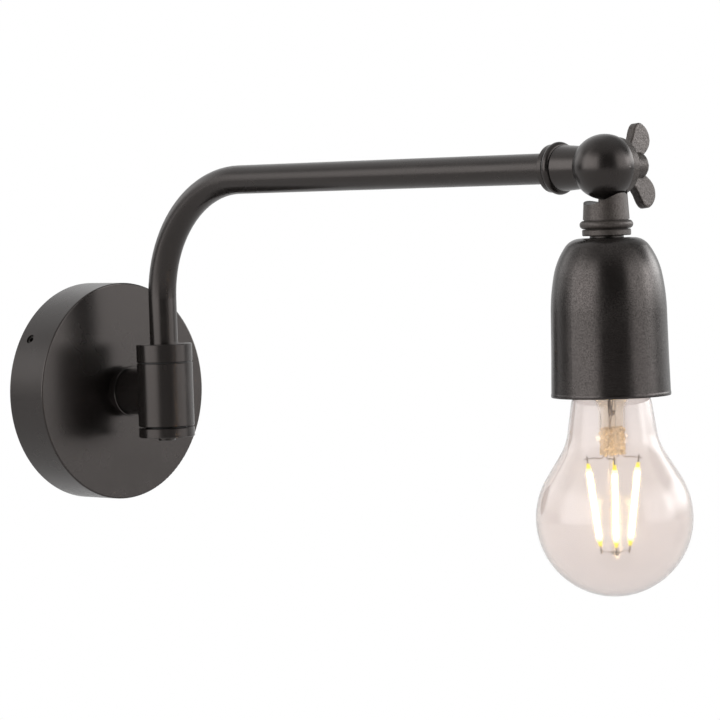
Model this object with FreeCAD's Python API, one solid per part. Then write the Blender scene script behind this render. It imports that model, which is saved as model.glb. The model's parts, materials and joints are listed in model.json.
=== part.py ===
import FreeCAD, Part
import math
import os

# Articulating wall lamp, in millimetres.
# Origin: centre of the wall rose's back, on the wall plane.  The lamp stands out along -Y,
# +Z is up, and +X is to the right of someone who faces the wall.

V = FreeCAD.Vector
ORIGIN = V(0, 0, 0)
X = V(1, 0, 0)
Y = V(0, 1, 0)
Z = V(0, 0, 1)

# ---------------------------------------------------------------- driving dimensions
arm_reach = 296.3            # wall to the centre of the knuckle ball
arm_height = 90.0            # stem axis to the axis of the arm's level run
pivot_reach = 47.5           # wall to the upright axis of the barrel
bend_radius = 49.8           # centreline of the arm's elbow
tube_diameter = 12.0
tube_wall = 1.0
flex_diameter = 2.8          # two-core flex that runs inside the arm

rose_diameter = 94.0
rose_depth = 21.0
rose_wall = 1.5
rose_edge_radius = 0.6

stem_diameter = 20.0
stem_foot_diameter = 18.0    # turned foot between the rose and the stem's lip
stem_foot_height = 3.9
stem_lip_diameter = 22.0
stem_lip_thickness = 2.0

barrel_diameter = 24.0
barrel_top = 12.7            # heights from the stem axis
barrel_bottom = -14.6
collar_top = 20.7
cap_bottom = -19.3
upper_gap = 0.3              # thrust washers above and below the barrel
lower_gap = 0.6

ball_diameter = 25.0
split_x = 2.7                # plane between the ball and the eye, from the arm's axis
split_gap = 0.2
eye_diameter = 22.4
eye_outer_x = 8.0
scoop_radius = 14.3          # hollow in the neck's top that clears the ball
scoop_shift = 2.0            # its axis, from the ball's centre towards the wall
scoop_past_split = 1.5       # how far it runs beyond the eye's inner face
bead_diameter = 20.4
lock_nut_diameter = 18.6

cover_diameter = 45.8        # at the mouth
cover_wall = 1.2
cover_top = 27.0             # depths below the ball's centre
cover_mouth = 87.2

bulb_diameter = 60.0
bulb_centre = 133.8          # depth of the centre of the glass below the ball's centre
bulb_cap_end = 58.5          # depth of the bulb's contact
glass_wall = 0.7
filament_count = 4

m10 = 10.0
m10_bore = 7.0
m5 = 5.0
m4 = 4.0
m3 = 3.0
fit_gap = 0.05               # radial clearance of turned fits

# ---------------------------------------------------------------- derived places
tube_radius = tube_diameter / 2
flex_radius = flex_diameter / 2
barrel_radius = barrel_diameter / 2
ball_radius = ball_diameter / 2
PIVOT = V(0, -pivot_reach, 0)
KNUCKLE = V(0, -arm_reach, arm_height)
bore_radius = m10_bore / 2
collar_bottom = barrel_top + upper_gap
cap_top = barrel_bottom - lower_gap
stem_start = rose_depth + stem_foot_height + stem_lip_thickness


# ---------------------------------------------------------------- helpers
def chain(start, moves):
    """Edges in the (radius, height) plane.  A move is an end point, or (point on arc, end point)."""
    edges = []
    here = V(start[0], 0, start[1])
    for move in moves:
        if isinstance(move[0], tuple):
            middle = V(move[0][0], 0, move[0][1])
            there = V(move[1][0], 0, move[1][1])
            edges.append(Part.Arc(here, middle, there).toShape())
        else:
            there = V(move[0], 0, move[1])
            edges.append(Part.LineSegment(here, there).toShape())
        here = there
    return edges


def placed(shape, centre, axis):
    """Puts a shape made about the Z axis at a centre, with its Z along axis."""
    shape.Placement = FreeCAD.Placement(centre, FreeCAD.Rotation(Z, axis))
    return shape


def turned(start, moves, centre=ORIGIN, axis=Z):
    """A piece turned about its axis from an outline of radius and height; the outline closes itself."""
    moves = list(moves)
    moves.append(start)
    face = Part.Face(Part.Wire(chain(start, moves)))
    return placed(face.revolve(ORIGIN, Z, 360), centre, axis)


def rod(radius, start, end):
    return Part.makeCylinder(radius, (end - start).Length, start, end - start)


def tube(outer, inner, start, end):
    return rod(outer, start, end).cut(rod(inner, start, end))


def chamfered_ring(outer, inner, low, high, edge, centre=ORIGIN, axis=Z):
    """A ring from height low to high with a small chamfer on both outer corners."""
    moves = [
        (outer - edge, low),
        (outer, low + edge),
        (outer, high - edge),
        (outer - edge, high),
        (inner, high),
    ]
    return turned((inner, low), moves, centre, axis)


def box(low, high):
    size = high - low
    return Part.makeBox(size.x, size.y, size.z, low)


def hex_prism(across_flats, low, high):
    corner = across_flats / math.sqrt(3)
    angles = [math.pi * k / 3 for k in range(7)]
    points = [V(corner * math.cos(angle), corner * math.sin(angle), low) for angle in angles]
    return Part.Face(Part.makePolygon(points)).extrude(V(0, 0, high - low))


def hex_nut(across_flats, bore, low, high, centre, axis):
    """Hexagon nut with its corners chamfered on both faces; bore is its hole's radius."""
    corner = across_flats / math.sqrt(3)
    crown = chamfered_ring(corner, bore, low, high, 0.15 * corner)
    return placed(hex_prism(across_flats, low, high).common(crown), centre, axis)


def bend_radii(points):
    """Radius of each bend: 0.45 of the shorter run over the tangent of half the turn."""
    radii = []
    for before, here, after in zip(points, points[1:], points[2:]):
        run_in = here - before
        run_out = after - here
        half_turn = run_in.getAngle(run_out) / 2
        radii.append(0.45 * min(run_in.Length, run_out.Length) / math.tan(half_turn))
    return radii


def route(points, radii):
    """Straight runs joined by tangent arcs, one arc at each inner point."""
    edges = []
    here = points[0]
    for before, corner, after, radius in zip(points, points[1:], points[2:], radii):
        back = (before - corner).normalize()
        ahead = (after - corner).normalize()
        half_turn = (math.pi - back.getAngle(ahead)) / 2
        reach = radius * math.tan(half_turn)
        arc_start = corner + back * reach
        arc_end = corner + ahead * reach
        inward = (back + ahead).normalize()
        middle = corner + inward * (radius / math.cos(half_turn) - radius)
        if (arc_start - here).Length > 1e-6:
            edges.append(Part.LineSegment(here, arc_start).toShape())
        edges.append(Part.Arc(arc_start, middle, arc_end).toShape())
        here = arc_end
    edges.append(Part.LineSegment(here, points[-1]).toShape())
    return Part.Wire(edges)


def swept(path, radius, label):
    """A round bar along a route.  Its volume is set against section times length."""
    start = path.Edges[0].Vertexes[0].Point
    heading = path.Edges[0].tangentAt(path.Edges[0].FirstParameter)
    section = Part.Wire([Part.makeCircle(radius, start, heading)])
    shell = Part.BRepOffsetAPI.MakePipeShell(path)
    shell.add(section)
    shell.build()
    shell.makeSolid()
    solid = shell.shape()
    ratio = solid.Volume / (math.pi * radius ** 2 * path.Length)
    print(f"{label}: length {path.Length:.1f} mm, volume over section times length {ratio:.4f}")
    return solid


def below_knuckle(x, y, depth):
    return KNUCKLE + V(x, y, -depth)


def hanging(start, moves):
    """A piece of the head turned about the upright axis through the ball; heights are depths."""
    return turned(start, moves, KNUCKLE, V(0, 0, -1))


# ---------------------------------------------------------------- wall rose
screw_radius = m4 / 2
first_screw_angle = 148.5          # seen from the front
screw_angles = [first_screw_angle + 120 * k for k in range(3)]
screw_plane = -6.6                 # near the back edge
plate_radius = 44.5
plate_thickness = 2.0
plate_rim_depth = 11.0
slot_spacing = 60.0
slot_length = 14.0
slot_half_width = 2.6
cable_hole_radius = 10.0
earth_place = V(-20, 0, -20)


def screw_axis(angle):
    return V(math.cos(math.radians(angle)), 0, math.sin(math.radians(angle)))


def rose_cover():
    """Spun steel cup: its mouth lies on the wall and its face carries the stem."""
    radius = rose_diameter / 2
    inner = radius - rose_wall
    soft = rose_edge_radius
    corner = soft * (1 - math.sqrt(0.5))
    outline = [
        (radius, 0),
        (radius, rose_depth - soft),
        ((radius - corner, rose_depth - corner), (radius - soft, rose_depth)),
        (m10 / 2 + 0.2, rose_depth),
        (m10 / 2 + 0.2, rose_depth - rose_wall),
        (inner, rose_depth - rose_wall),
    ]
    cup = turned((inner, 0), outline, ORIGIN, V(0, -1, 0))
    for angle in screw_angles:
        outward = screw_axis(angle)
        hole = rod(screw_radius + fit_gap, outward * (inner - 2), outward * (radius + 2))
        cup = cup.cut(hole.translated(V(0, screw_plane, 0)))
    return cup


def slot_hole(centre):
    """Upright-ended slot through the plate, running along X."""
    half_run = slot_length / 2 - slot_half_width
    through = V(0, 3 * plate_thickness, 0)
    start = centre - through / 2
    end = rod(slot_half_width, start, start + through)
    ends = [end.translated(X * side * half_run) for side in (-1, 1)]
    middle = box(start - V(half_run, 0, slot_half_width), start + through + V(half_run, 0, slot_half_width))
    return middle.fuse(ends)


def wall_plate():
    """Pressed steel dish that is screwed to the wall; its rim holds the rose's screws."""
    rim_inner = plate_radius - plate_thickness
    outline = [
        (plate_radius, 0),
        (plate_radius, plate_rim_depth),
        (rim_inner, plate_rim_depth),
        (rim_inner, plate_thickness),
        (cable_hole_radius, plate_thickness),
    ]
    plate = turned((cable_hole_radius, 0), outline, ORIGIN, V(0, -1, 0))
    for side in (-1, 1):
        plate = plate.cut(slot_hole(V(side * slot_spacing / 2, -plate_thickness / 2, 0)))
    for angle in screw_angles:
        outward = screw_axis(angle)
        hole = rod(screw_radius, outward * (rim_inner - 1), outward * (plate_radius + 1))
        plate = plate.cut(hole.translated(V(0, screw_plane, 0)))
    for place in (earth_place, terminal_fixing_place):
        plate = plate.cut(rod(m3 / 2 + 0.1, place + Y, place - Y * 2 * plate_thickness))
    return plate


def rose_grub_screws():
    """Three hollow-hex grub screws, their outer ends just below the rose's surface."""
    sunk = 0.7
    length = 5.0
    key_size = 2.0
    screws = []
    for angle in screw_angles:
        inward = screw_axis(angle) * -1
        screw = rod(screw_radius - fit_gap, ORIGIN, Z * length).cut(hex_prism(key_size, 0, key_size))
        outer_end = inward * (sunk - rose_diameter / 2) + V(0, screw_plane, 0)
        screws.append(placed(screw, outer_end, inward))
    return Part.makeCompound(screws)


terminal_low = 17.0
terminal_height = 13.0
terminal_half_width = 13.5
terminal_depth = 11.0
terminal_entry_y = -6.0
terminal_fixing_place = V(0, 0, terminal_low + terminal_height / 2)
terminal_ways = (-9.0, 9.0)
terminal_screw_shares = (0.27, 0.73)    # of the block's height
terminal_screw_seat = 9.0               # from the wall


def terminal_block():
    """Two-way terminal block with its flex entry below and the house wiring above."""
    front = -plate_thickness - terminal_depth
    body = box(V(-terminal_half_width, front, terminal_low),
               V(terminal_half_width, -plate_thickness, terminal_low + terminal_height))
    flex_entry = V(0, terminal_entry_y, terminal_low)
    cuts = [
        rod(m3 / 2 + 0.15, terminal_fixing_place - Y, terminal_fixing_place - Y * 20),
        rod(3.2, terminal_fixing_place - Y * terminal_screw_seat, terminal_fixing_place - Y * 20),
        rod(flex_radius + 0.2, flex_entry - Z, flex_entry + Z * 1.6),
    ]
    for x in terminal_ways:
        for share in terminal_screw_shares:
            place = V(x, 0, terminal_low + share * terminal_height)
            cuts.append(rod(1.7, place - Y * 7, place - Y * 20))
        cuts.append(rod(1.4, flex_entry + V(x, 0, 6), flex_entry + V(x, 0, 20)))
    return body.cut(cuts)


def terminal_screws():
    """Four slotted clamp screws in the ways of the terminal block."""
    screws = []
    head_face = -plate_thickness - terminal_depth + 1.5
    for x in terminal_ways:
        for share in terminal_screw_shares:
            place = V(x, head_face, terminal_low + share * terminal_height)
            screw = rod(1.6, place + Y * 4.4, place)
            slot = box(place + V(-2, -0.1, -0.25), place + V(2, 0.7, 0.25))
            screws.append(screw.cut(slot))
    return Part.makeCompound(screws)


def pan_screw(head_radius, head_height, shank_radius, length, seat, outward):
    """A pan-head screw: its head stands outward from the seat and its shank goes the other way."""
    outline = [
        (head_radius, 0),
        (head_radius, 0.4 * head_height),
        ((0.86 * head_radius, 0.8 * head_height), (0.5 * head_radius, head_height)),
        (0, head_height),
        (0, -length),
        (shank_radius, -length),
    ]
    screw = turned((shank_radius, 0), outline, ORIGIN, Z)
    arm = 0.55 * head_radius
    for rotation in (0, 90):
        cross = box(V(-arm, -0.3, 0.45 * head_height), V(arm, 0.3, head_height + 1))
        cross.rotate(ORIGIN, Z, rotation)
        screw = screw.cut(cross)
    return placed(screw, seat, outward)


def terminal_fixing_screw():
    seat = terminal_fixing_place - Y * terminal_screw_seat
    return pan_screw(2.7, 2.0, 1.5, 8.4, seat, V(0, -1, 0))


def earth_screw():
    """Brass screw and cup washer that bond the plate to the earth lead."""
    seat = earth_place - Y * (plate_thickness + 1.0)
    screw = pan_screw(3.2, 2.2, 1.5, 2.8, seat, V(0, -1, 0))
    washer = tube(4.2, 1.5, earth_place - Y * plate_thickness, seat)
    return screw.fuse(washer)


earth_lead_radius = 1.0


def earth_lead():
    """Lead from the earth screw round the stem's nut to the earth tag on its washer."""
    lead_y = -plate_thickness - 2.0 - 1.2
    start = V(earth_place.x + 3.4, lead_y, earth_place.z)
    points = [
        start,
        V(-8, lead_y, -22),
        V(4, lead_y - 1.0, -20),
        V(11.5, -13.2, -13),
        V(11.0, -17.2, -5.2),
    ]
    return swept(route(points, bend_radii(points)), earth_lead_radius, "earth lead")


# ---------------------------------------------------------------- stem and barrel
stem_nipple_in = 7.0               # thread engagement in the stem
barrel_bore = 8.0
flex_turn = 8.0                    # bend of the flex where it turns up into the pivot


def stem_ring():
    """Turned ring between the rose's face and the stem: a narrow foot under a sharp lip."""
    edge = 0.3
    foot = stem_foot_diameter / 2
    lip = stem_lip_diameter / 2
    lip_start = rose_depth + stem_foot_height
    bore = m10 / 2 + fit_gap
    outline = [
        (foot, rose_depth),
        (foot, lip_start),
        (lip - edge, lip_start),
        (lip, lip_start + edge),
        (lip, stem_start - edge),
        (lip - edge, stem_start),
        (bore, stem_start),
    ]
    return turned((bore, rose_depth), outline, ORIGIN, V(0, -1, 0))


def stem():
    """Short round bar from the ring to the barrel, saddle-cut to the barrel's side."""
    start = V(0, -stem_start, 0)
    bar = rod(stem_diameter / 2, start, PIVOT)
    bar = bar.cut(rod(barrel_radius, PIVOT + Z * barrel_bottom, PIVOT + Z * barrel_top))
    socket = rod(m10 / 2 + fit_gap, start, start - Y * stem_nipple_in)
    passage = rod(bore_radius, start, PIVOT)
    return bar.cut([socket, passage])


def stem_nipple():
    """Threaded tube that clamps the stem to the rose and carries the flex through."""
    inner_end = V(0, -rose_depth + 7.4, 0)
    outer_end = V(0, -stem_start - stem_nipple_in + 0.2, 0)
    return tube(m10 / 2, bore_radius, inner_end, outer_end)


def stem_washer():
    face = V(0, -rose_depth + rose_wall, 0)
    washer = tube(13.0, m10 / 2 + 0.1, face, face + Y * 1.2)
    tag = box(face + V(8.5, 0, -4.2), face + V(16.5, 0.8, -0.4))
    tag_hole = rod(1.1, face + V(14.4, -1, -2.3), face + V(14.4, 3, -2.3))
    return washer.fuse(tag).removeSplitter().cut(tag_hole)


def stem_nut():
    face = V(0, -rose_depth + rose_wall + 1.2, 0)
    return hex_nut(14.0, m10 / 2 + fit_gap, 0, 4.0, face, Y)


def barrel():
    """Upright sleeve that the arm turns in."""
    sleeve = chamfered_ring(barrel_radius, barrel_bore, barrel_bottom, barrel_top, 0.3, PIVOT)
    return sleeve.cut(rod(bore_radius, PIVOT, PIVOT + Y * (barrel_radius + 1)))


bush_height = 5.5


def bush(low, high):
    """Plain bearing pressed into the barrel."""
    return tube(barrel_bore, m10 / 2 + fit_gap, PIVOT + Z * low, PIVOT + Z * high)


def upper_bush():
    return bush(barrel_top - bush_height, barrel_top)


def lower_bush():
    return bush(barrel_bottom, barrel_bottom + bush_height)


def base_flex():
    """Flex from the terminal block through the stem, turning up on the pivot's axis."""
    points = [
        V(0, terminal_entry_y, terminal_low + 1.5),
        V(0, terminal_entry_y, 0),
        PIVOT,
        PIVOT + Z * (flex_turn + 0.3),
    ]
    path = route(points, (8.5, flex_turn))
    return swept(path, flex_radius, "flex in the base")


# ---------------------------------------------------------------- arm
window_half_angle = 118            # lets the flex stay put while the arm swings 90 degrees each way
window_low = -2.4
window_high = 5.0
shaft_top = 16.4
tube_seat = 16.4
screw_head_radius = 3.75
screw_head_sunk = 1.6              # depth of its counterbore in the cap


def upper_thrust_washer():
    return tube(barrel_radius - 0.4, m10 / 2 + fit_gap, PIVOT + Z * barrel_top, PIVOT + Z * collar_bottom)


def lower_thrust_washer():
    return tube(barrel_radius - 3.0, m10 / 2 + fit_gap, PIVOT + Z * cap_top, PIVOT + Z * barrel_bottom)


def arm_collar():
    """Collar that turns on the barrel and holds both the arm's tube and the pivot shaft."""
    radius = barrel_radius
    edge = 0.3
    outline = [
        (radius - edge, collar_bottom),
        (radius, collar_bottom + edge),
        (radius, collar_top - edge),
        (radius - edge, collar_top),
        (tube_radius, collar_top),
        (tube_radius, tube_seat),
        (m10 / 2, tube_seat),
    ]
    return turned((m10 / 2, collar_bottom), outline, PIVOT)


def pivot_shaft():
    """Shaft down through both bushes: hollow above, with a side window for the flex, and tapped below."""
    shaft = rod(m10 / 2, PIVOT + Z * cap_top, PIVOT + Z * shaft_top)
    hollow = rod(bore_radius, PIVOT + Z * window_low, PIVOT + Z * (shaft_top + 1))
    tapping = rod(m4 / 2, PIVOT + Z * (cap_top - 1), PIVOT + Z * (cap_top + 9))
    height = window_high - window_low
    window = Part.makeCylinder(m10, height, PIVOT + Z * window_low, Z, 2 * window_half_angle)
    window.rotate(PIVOT, Z, 90 - window_half_angle)
    return shaft.cut([hollow, tapping, window])


def bottom_cap():
    """Disc that closes the barrel from below and keeps the shaft from lifting."""
    disc = chamfered_ring(barrel_radius, m4 / 2 + 0.2, cap_bottom, cap_top, 0.3, PIVOT)
    seat = PIVOT + Z * (cap_bottom + screw_head_sunk)
    return disc.cut(rod(screw_head_radius + 0.3, PIVOT + Z * (cap_bottom - 1), seat))


def bottom_screw():
    """Cheese-head screw with a hexagon socket that holds the cap on the shaft."""
    shank = m4 / 2 - fit_gap
    length = 10.0
    height = 3.2
    edge = 0.3
    key_size = 2.5
    outline = [
        (screw_head_radius, 0),
        (screw_head_radius, height - edge),
        (screw_head_radius - edge, height),
        (0, height),
        (0, -length),
        (shank, -length),
    ]
    screw = turned((shank, 0), outline).cut(hex_prism(key_size, height - 2.0, height + 1))
    return placed(screw, PIVOT + Z * (cap_bottom + screw_head_sunk), V(0, 0, -1))


stub_end = 20.7                    # distances from the ball's centre, back along the arm
tube_end = 14.0
end_bead_end = 24.1
end_ring_end = 26.5
end_ring_radius = 9.3
bead_round = 1.6                   # half-round edge of both beads


def arm_path(start, end):
    """Centreline of the arm from inside the collar to the knuckle."""
    corner = PIVOT + Z * arm_height
    return route([start, corner, end], (bend_radius,))


def arm_tube():
    """Bent tube, open right through for the flex."""
    path = arm_path(PIVOT + Z * tube_seat, KNUCKLE + Y * tube_end)
    outer = swept(path, tube_radius, "arm tube")
    return outer.cut(swept(path, tube_radius - tube_wall, "arm tube bore"))


def arm_end_ring():
    """Ring behind the ball's bead."""
    bore = tube_radius + fit_gap
    return chamfered_ring(end_ring_radius, bore, end_bead_end, end_ring_end, 0.25, KNUCKLE, Y)


# ---------------------------------------------------------------- knuckle
groove_inner = 4.4                 # ring-shaped room round the stud for the flex
groove_outer = 8.6
groove_floor = 6.2
stud_radius = m5 / 2
nipple_top = 19.4                  # depths below the ball's centre
neck_end = 20.3
bead_end = 23.5
nut_start = 23.7
nut_end = 26.1
neck_groove = 0.3                  # fine groove between neck and bead


flex_bends = [
    V(0, 12.0, 0),
    V(1.4, 6.3, -2.4),
    V(3.6, 3.9, -5.6),
    V(4.4, 0.6, -8.8),
    V(4.4, 0, -15.6),
    V(0.6, 0, -21.4),
    V(0, 0, -43.0),
]


def flex_passage(first, last):
    """Clearance round the flex's route through the knuckle."""
    points = [KNUCKLE + place for place in flex_bends[first:last]]
    return swept(route(points, bend_radii(points)), flex_radius + 0.4, "flex passage")


def bead_outline(radius, minor, low, high):
    """Moves round a half-round bead from its low side to its high side."""
    middle = (low + high) / 2
    return [(radius - minor, low), ((radius, middle), (radius - minor, high))]


def knuckle_ball():
    """Ball with its stub and bead at the arm's end; cut flat where the eye lies on it."""
    rise = math.sqrt(ball_radius ** 2 - 8.1 ** 2)
    outline = [
        ((ball_radius, 0), (8.1, rise)),
        (8.9, stub_end - neck_groove),
        (8.5, stub_end - neck_groove),
        (8.5, stub_end),
    ]
    outline += bead_outline(bead_diameter / 2, bead_round, stub_end, end_bead_end)
    outline += [(tube_radius, end_bead_end), (tube_radius, tube_end), (0, tube_end)]
    ball = turned((0, -ball_radius), outline, KNUCKLE, Y)
    beyond = rod(ball_radius - 0.1, KNUCKLE + X * (split_x - split_gap / 2), KNUCKLE + X * 20)
    channel = rod(3.2, KNUCKLE + Y * 6, KNUCKLE + Y * (tube_end + 1))
    groove = tube(groove_outer, groove_inner, KNUCKLE + X * -1.8, KNUCKLE + X * 10)
    stud_hole = rod(stud_radius, KNUCKLE + X * -7, KNUCKLE + X * 10)
    return ball.cut([beyond, channel, groove, stud_hole, flex_passage(0, 4)])


def clamp_stud():
    """Stud screwed into the ball; the eye, washer and wing nut go on it."""
    outline = [
        (stud_radius, -6.8),
        (stud_radius, 19.0),
        (stud_radius - 0.5, 19.5),
        (0, 19.5),
    ]
    return turned((0, -6.8), outline, KNUCKLE, X)


def knuckle_eye():
    """Eye on the ball's flat, with the offset neck and bead that carry the head."""
    near = split_x + split_gap / 2
    bevel = 0.7
    radius = eye_diameter / 2
    eye_outline = [
        (radius, near),
        (radius, eye_outer_x - bevel),
        (radius - bevel, eye_outer_x),
        (0, eye_outer_x),
    ]
    eye = turned((0, near), eye_outline, KNUCKLE, X)
    neck_outline = [
        (8.05, 6.0),
        (8.9, neck_end - neck_groove),
        (8.5, neck_end - neck_groove),
        (8.5, neck_end),
    ]
    neck_outline += bead_outline(bead_diameter / 2, bead_round, neck_end, bead_end)
    neck_outline += [(0, bead_end)]
    neck = hanging((0, 6.0), neck_outline)
    scoop_axis = KNUCKLE + Y * scoop_shift
    scoop = rod(scoop_radius, scoop_axis - X * 20, scoop_axis + X * (near + scoop_past_split))
    body = neck.cut(scoop).fuse(eye).removeSplitter()
    stud_hole = rod(stud_radius + fit_gap, KNUCKLE, KNUCKLE + X * 10)
    groove = tube(groove_outer, groove_inner, KNUCKLE, KNUCKLE + X * groove_floor)
    groove = groove.common(box(KNUCKLE + V(near, -20, -20), KNUCKLE + V(20, 20, 20)))
    far_side = box(KNUCKLE + V(near, -20, -12), KNUCKLE + V(20, 20, 20))
    below = box(KNUCKLE + V(-20, -20, -40), KNUCKLE + V(20, 20, -12))
    way_down = flex_passage(2, len(flex_bends)).common(far_side.fuse(below))
    socket = rod(m10 / 2 + fit_gap, below_knuckle(0, 0, nipple_top - 0.1), below_knuckle(0, 0, bead_end + 1))
    return body.cut([stud_hole, groove, way_down, socket])


washer_thickness = 1.2
hub_start = eye_outer_x + washer_thickness
hub_end = 21.0
hub_radius = 5.3
nut_turned = -6                    # how the nut stands in the photographed pose
wing_half_thickness = 2.0


def spring_washer():
    """Split spring washer between the eye and the wing nut."""
    ring = tube(4.6, stud_radius + 0.15, KNUCKLE + X * eye_outer_x, KNUCKLE + X * hub_start)
    split = box(KNUCKLE + V(eye_outer_x - 1, -0.35, 2), KNUCKLE + V(hub_start + 1, 0.35, 6))
    return ring.cut(split)


def wing():
    """One leaf-shaped wing, drawn in the plane of the bolt's axis."""
    outline = [
        (11.6, 3.0),
        (13.8, 7.4),
        (16.6, 11.4),
        (18.4, 14.8),
        (20.9, 16.5),
        (23.8, 15.5),
        (26.2, 12.6),
        (26.4, 8.8),
        (24.0, 5.4),
        (20.0, 3.0),
    ]
    curve = Part.BSplineCurve()
    curve.interpolate([V(x, -wing_half_thickness, height) for x, height in outline])
    root = Part.LineSegment(curve.EndPoint, curve.StartPoint).toShape()
    leaf = Part.Face(Part.Wire([curve.toShape(), root])).extrude(V(0, 2 * wing_half_thickness, 0))
    rims = [edge for edge in leaf.Edges if edge.BoundBox.ZMax > 8 and edge.BoundBox.YLength < 0.1]
    return leaf.makeFillet(0.6, rims)


def wing_nut():
    """Cast wing nut: a waisted hub with two wings that flare away from the eye."""
    hub_outline = [
        (hub_radius, hub_start),
        (hub_radius, hub_start + 1.2),
        ((hub_radius - 0.5, hub_start + 3.2), (hub_radius - 0.3, hub_start + 5.4)),
        (hub_radius, hub_end - 1.6),
        ((hub_radius - 0.4, hub_end - 0.5), (hub_radius - 1.4, hub_end)),
        (stud_radius + fit_gap, hub_end),
    ]
    nut = turned((stud_radius + fit_gap, hub_start), hub_outline, ORIGIN, X)
    for half_turn in (0, 180):
        leaf = wing()
        leaf.rotate(ORIGIN, X, half_turn)
        nut = nut.fuse(leaf)
    nut = nut.cut(rod(stud_radius + fit_gap, X * 5, X * 30))
    nut.rotate(ORIGIN, X, nut_turned)
    nut.translate(KNUCKLE)
    return nut


flex_overrun = 2.5                 # straight on past the ball's flat, where it is cut


def arm_flex():
    """Flex up the pivot, along the arm and round the stud as far as the ball's flat."""
    start = PIVOT + Z * (flex_turn + 0.3)
    points = [start, PIVOT + Z * arm_height] + [KNUCKLE + place for place in flex_bends[:3]]
    radii = [bend_radius] + bend_radii(points[1:])
    points[-1] += (points[-1] - points[-2]).normalize() * flex_overrun
    whole = swept(route(points, radii), flex_radius, "flex in the arm")
    far_side = box(KNUCKLE + V(split_x - split_gap / 2, -20, -20), KNUCKLE + V(20, 20, 20))
    return whole.cut(far_side)


def head_flex():
    """Flex from the eye's flat down through the neck to the lampholder."""
    points = [KNUCKLE + place for place in flex_bends[1:]]
    whole = swept(route(points, bend_radii(points)), flex_radius, "flex in the head")
    near_side = box(KNUCKLE + V(-20, -20, -12), KNUCKLE + V(split_x + split_gap / 2, 20, 20))
    return whole.cut(near_side)


# ---------------------------------------------------------------- head
holder_nut_height = 4.0
nipple_end = 41.5
shoulder_start = 10.1              # radius of the cover's flat top
shoulder_turns = ((7.2, 55.0), (28.6, 24.0), (80.0, 9.4))    # radius and turn of each arc


def head_lock_nut():
    """Round nut below the bead that locks the nipple."""
    radius = lock_nut_diameter / 2
    return chamfered_ring(radius, m10 / 2 + fit_gap, nut_start, nut_end, 0.3, KNUCKLE, V(0, 0, -1))


def neck_spacer():
    """Small turned spacers: one in the groove above the lock nut, one below it on the cover."""
    bore = m10 / 2 + fit_gap
    upper = chamfered_ring(8.2, bore, bead_end, nut_start, 0.05, KNUCKLE, V(0, 0, -1))
    lower = chamfered_ring(6.5, bore, nut_end, cover_top, 0.1, KNUCKLE, V(0, 0, -1))
    return Part.makeCompound([upper, lower])


def head_nipple():
    """Threaded tube from the neck to the lampholder."""
    return tube(m10 / 2, bore_radius, below_knuckle(0, 0, nipple_top), below_knuckle(0, 0, nipple_end))


def shoulder_arcs(inset):
    """Tangent arcs of the cover's dome as (point on arc, end) pairs, from its flat top to its side."""
    heading = 0.0
    place = (shoulder_start, cover_top + inset)
    moves = []
    for outer_radius, turn in shoulder_turns:
        radius = outer_radius - inset
        points = []
        for share in (0.5, 1.0):
            there = math.radians(heading + turn * share)
            here = math.radians(heading)
            across = radius * (math.sin(there) - math.sin(here))
            down = radius * (math.cos(here) - math.cos(there))
            points.append((place[0] + across, place[1] + down))
        moves.append((points[0], points[1]))
        place = points[1]
        heading += turn
    return moves


def holder_cover():
    """Spun bell over the lampholder, open below, with a thin rolled lip."""
    mouth = cover_diameter / 2
    waist_depth = 72.0
    waist = 22.4
    lip = 0.15
    inner_mouth = mouth - cover_wall
    outer = shoulder_arcs(0.0) + [
        (waist, waist_depth),
        (mouth - lip, cover_mouth - 1.5),
        ((mouth, cover_mouth - 0.75), (mouth - lip, cover_mouth)),
        (inner_mouth, cover_mouth),
    ]
    shell = hanging((0, cover_top), [(shoulder_start, cover_top)] + outer + [(0, cover_mouth)])
    inside = hanging(
        (0, cover_top + cover_wall),
        [(shoulder_start, cover_top + cover_wall)]
        + shoulder_arcs(cover_wall)
        + [(waist - cover_wall, waist_depth), (inner_mouth, cover_mouth), (inner_mouth, 100), (0, 100)],
    )
    hole = rod(m10 / 2 + 0.1, below_knuckle(0, 0, cover_top - 1), below_knuckle(0, 0, cover_top + 5))
    return shell.cut([inside, hole])


holder_top = cover_top + cover_wall + holder_nut_height
holder_plate = 4.5
recess_floor = 47.0
socket_top = 54.0
holder_mouth = 80.0
holder_radius = 19.5
terminal_offset = 8.5


def holder_nuts():
    """Two hex nuts on the nipple: one clamps the cover, the other the lampholder."""
    low = V(0, 0, -1)
    upper = hex_nut(14.0, m10 / 2 + fit_gap, cover_top + cover_wall, holder_top, KNUCKLE, low)
    under = holder_top + holder_plate
    lower = hex_nut(14.0, m10 / 2 + fit_gap, under, under + holder_nut_height, KNUCKLE, low)
    return Part.makeCompound([upper, lower])


def lampholder_body():
    """Porcelain lampholder with a wiring recess above and the screw socket below."""
    radius = holder_radius
    outline = [
        (11.0, holder_top),
        ((15.2, holder_top + 3.0), (17.6, holder_top + 8.0)),
        (radius, holder_top + 15.0),
        (radius, holder_mouth - 1.0),
        (radius - 1.0, holder_mouth),
        (14.6, holder_mouth),
        (13.9, holder_mouth - 0.8),
        (13.9, socket_top),
        (0, socket_top),
    ]
    body = hanging((0, holder_top), outline)
    recess = rod(12.5, below_knuckle(0, 0, holder_top + holder_plate), below_knuckle(0, 0, recess_floor))
    entry = rod(m10 / 2 + 0.1, below_knuckle(0, 0, holder_top - 1), below_knuckle(0, 0, recess_floor))
    cuts = [recess, entry]
    for side in (-1, 1):
        x = side * terminal_offset
        cuts.append(rod(1.6, below_knuckle(x, 0, recess_floor - 1), below_knuckle(x, 0, socket_top + 1)))
    return body.cut(cuts)


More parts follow.
